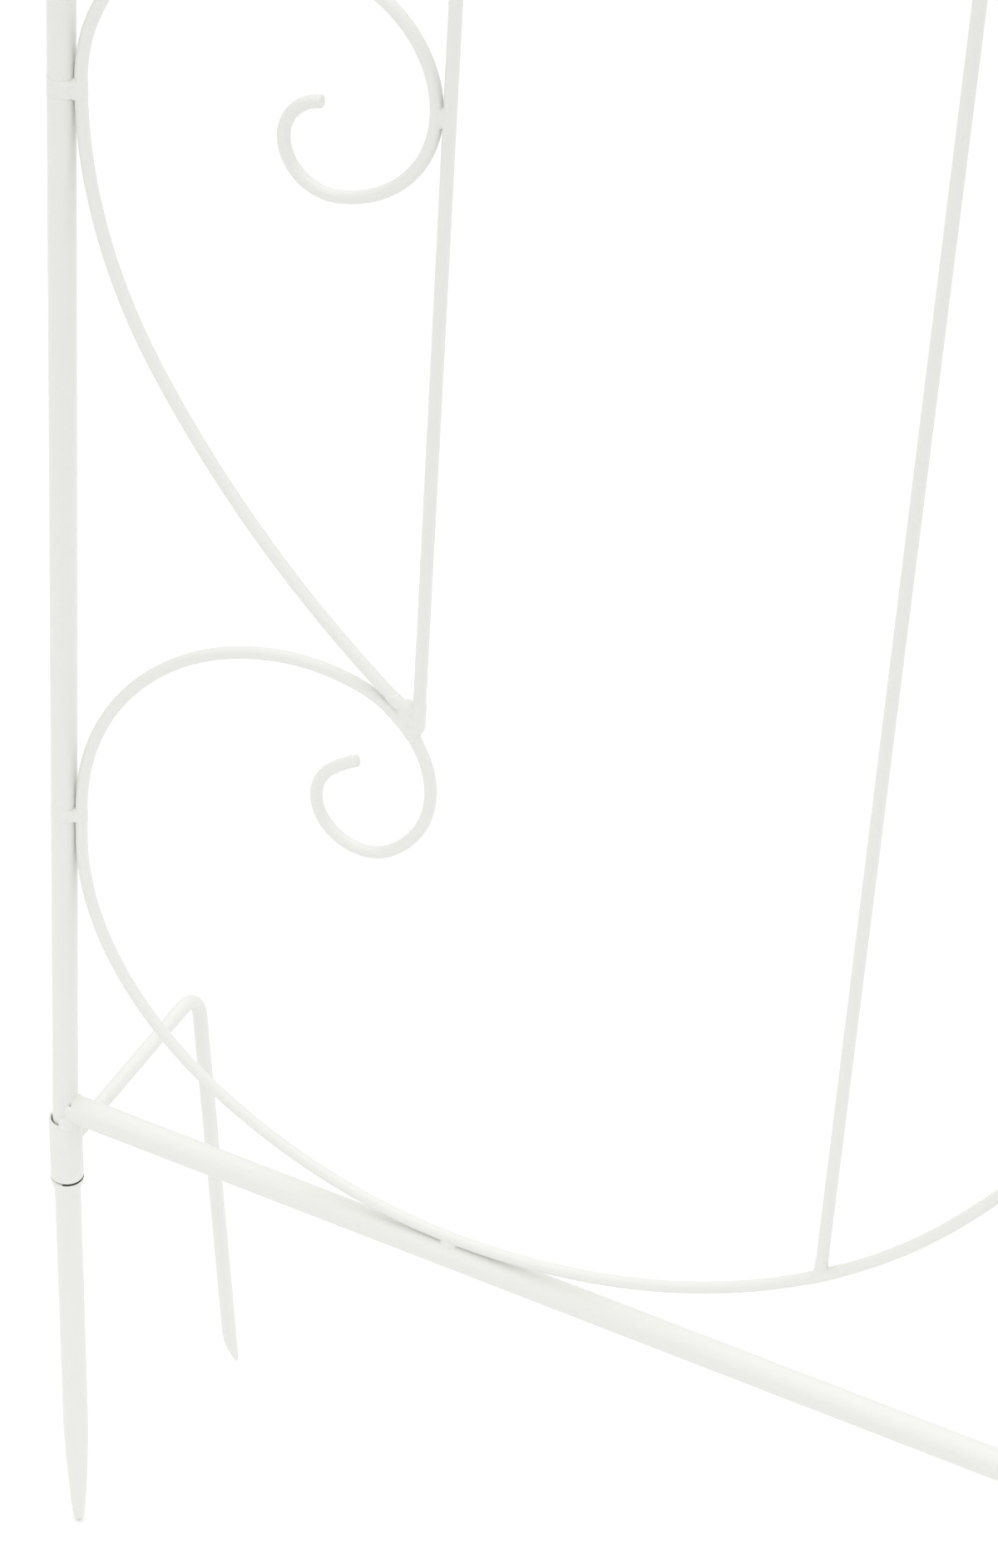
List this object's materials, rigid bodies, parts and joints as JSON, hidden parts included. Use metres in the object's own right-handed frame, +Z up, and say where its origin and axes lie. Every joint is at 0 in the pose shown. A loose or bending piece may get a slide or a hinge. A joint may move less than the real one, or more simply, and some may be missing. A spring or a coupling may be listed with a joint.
{
  "type": "garden trellis arch",
  "caption": "Walk-through garden arch of white coated steel tube: scrollwork side panels on push-in ground spikes with outriggers, and a bolted half-round roof.",
  "frame": {"origin": "on the ground, midway between the side panels and midway between front and rear posts; centre of the bounding box's bottom", "axes": "X across the walkway, Y through the walkway from front to rear, Z up"},
  "size_m": [1.486, 0.617, 2.5051],
  "materials": {
    "white_powder_coat": "satin white powder coat on steel",
    "zinc_steel": "bright zinc plating"
  },
  "bodies": {
    "arch": {"right_rear_post": "white_powder_coat", "right_front_post": "white_powder_coat", "right_bottom_bar": "white_powder_coat", "right_top_bar": "white_powder_coat", "right_rear_rod": "white_powder_coat", "right_front_rod": "white_powder_coat", "right_lower_scroll": "white_powder_coat", "right_upper_scroll": "white_powder_coat", "right_lower_heart": "white_powder_coat", "right_upper_heart": "white_powder_coat", "right_rear_sleeve": "white_powder_coat", "right_front_sleeve": "white_powder_coat", "right_rear_outrigger": "white_powder_coat", "right_front_outrigger": "white_powder_coat", "right_panel_welds": "white_powder_coat", "right_roof_front_tube": "white_powder_coat", "right_roof_rear_tube": "white_powder_coat", "right_roof_front_rod": "white_powder_coat", "right_roof_rear_rod": "white_powder_coat", "right_roof_crossbars": "white_powder_coat", "right_roof_welds": "white_powder_coat", "left_rear_post": "white_powder_coat", "left_front_post": "white_powder_coat", "left_bottom_bar": "white_powder_coat", "left_top_bar": "white_powder_coat", "left_rear_rod": "white_powder_coat", "left_front_rod": "white_powder_coat", "left_lower_scroll": "white_powder_coat", "left_upper_scroll": "white_powder_coat", "left_lower_heart": "white_powder_coat", "left_upper_heart": "white_powder_coat", "left_rear_sleeve": "white_powder_coat", "left_front_sleeve": "white_powder_coat", "left_rear_outrigger": "white_powder_coat", "left_front_outrigger": "white_powder_coat", "left_panel_welds": "white_powder_coat", "left_roof_front_tube": "white_powder_coat", "left_roof_rear_tube": "white_powder_coat", "left_roof_front_rod": "white_powder_coat", "left_roof_rear_rod": "white_powder_coat", "left_roof_crossbars": "white_powder_coat", "left_roof_welds": "white_powder_coat", "joint_spigots": "zinc_steel", "joint_bolts": "zinc_steel", "joint_nuts": "zinc_steel"},
    "right_rear_spike": {"right_rear_spike": "white_powder_coat"},
    "right_front_spike": {"right_front_spike": "white_powder_coat"},
    "left_rear_spike": {"left_rear_spike": "white_powder_coat"},
    "left_front_spike": {"left_front_spike": "white_powder_coat"}
  },
  "joints": [
    {"name": "right_rear_spike_pull", "type": "slide", "parent": "arch", "child": "right_rear_spike", "axis": [0, -0.0262, -0.9997], "range_m": [0, 0.025]},
    {"name": "right_front_spike_pull", "type": "slide", "parent": "arch", "child": "right_front_spike", "axis": [0, 0.0262, -0.9997], "range_m": [0, 0.025]},
    {"name": "left_rear_spike_pull", "type": "slide", "parent": "arch", "child": "left_rear_spike", "axis": [0, -0.0262, -0.9997], "range_m": [0, 0.025]},
    {"name": "left_front_spike_pull", "type": "slide", "parent": "arch", "child": "left_front_spike", "axis": [0, 0.0262, -0.9997], "range_m": [0, 0.025]}
  ]
}
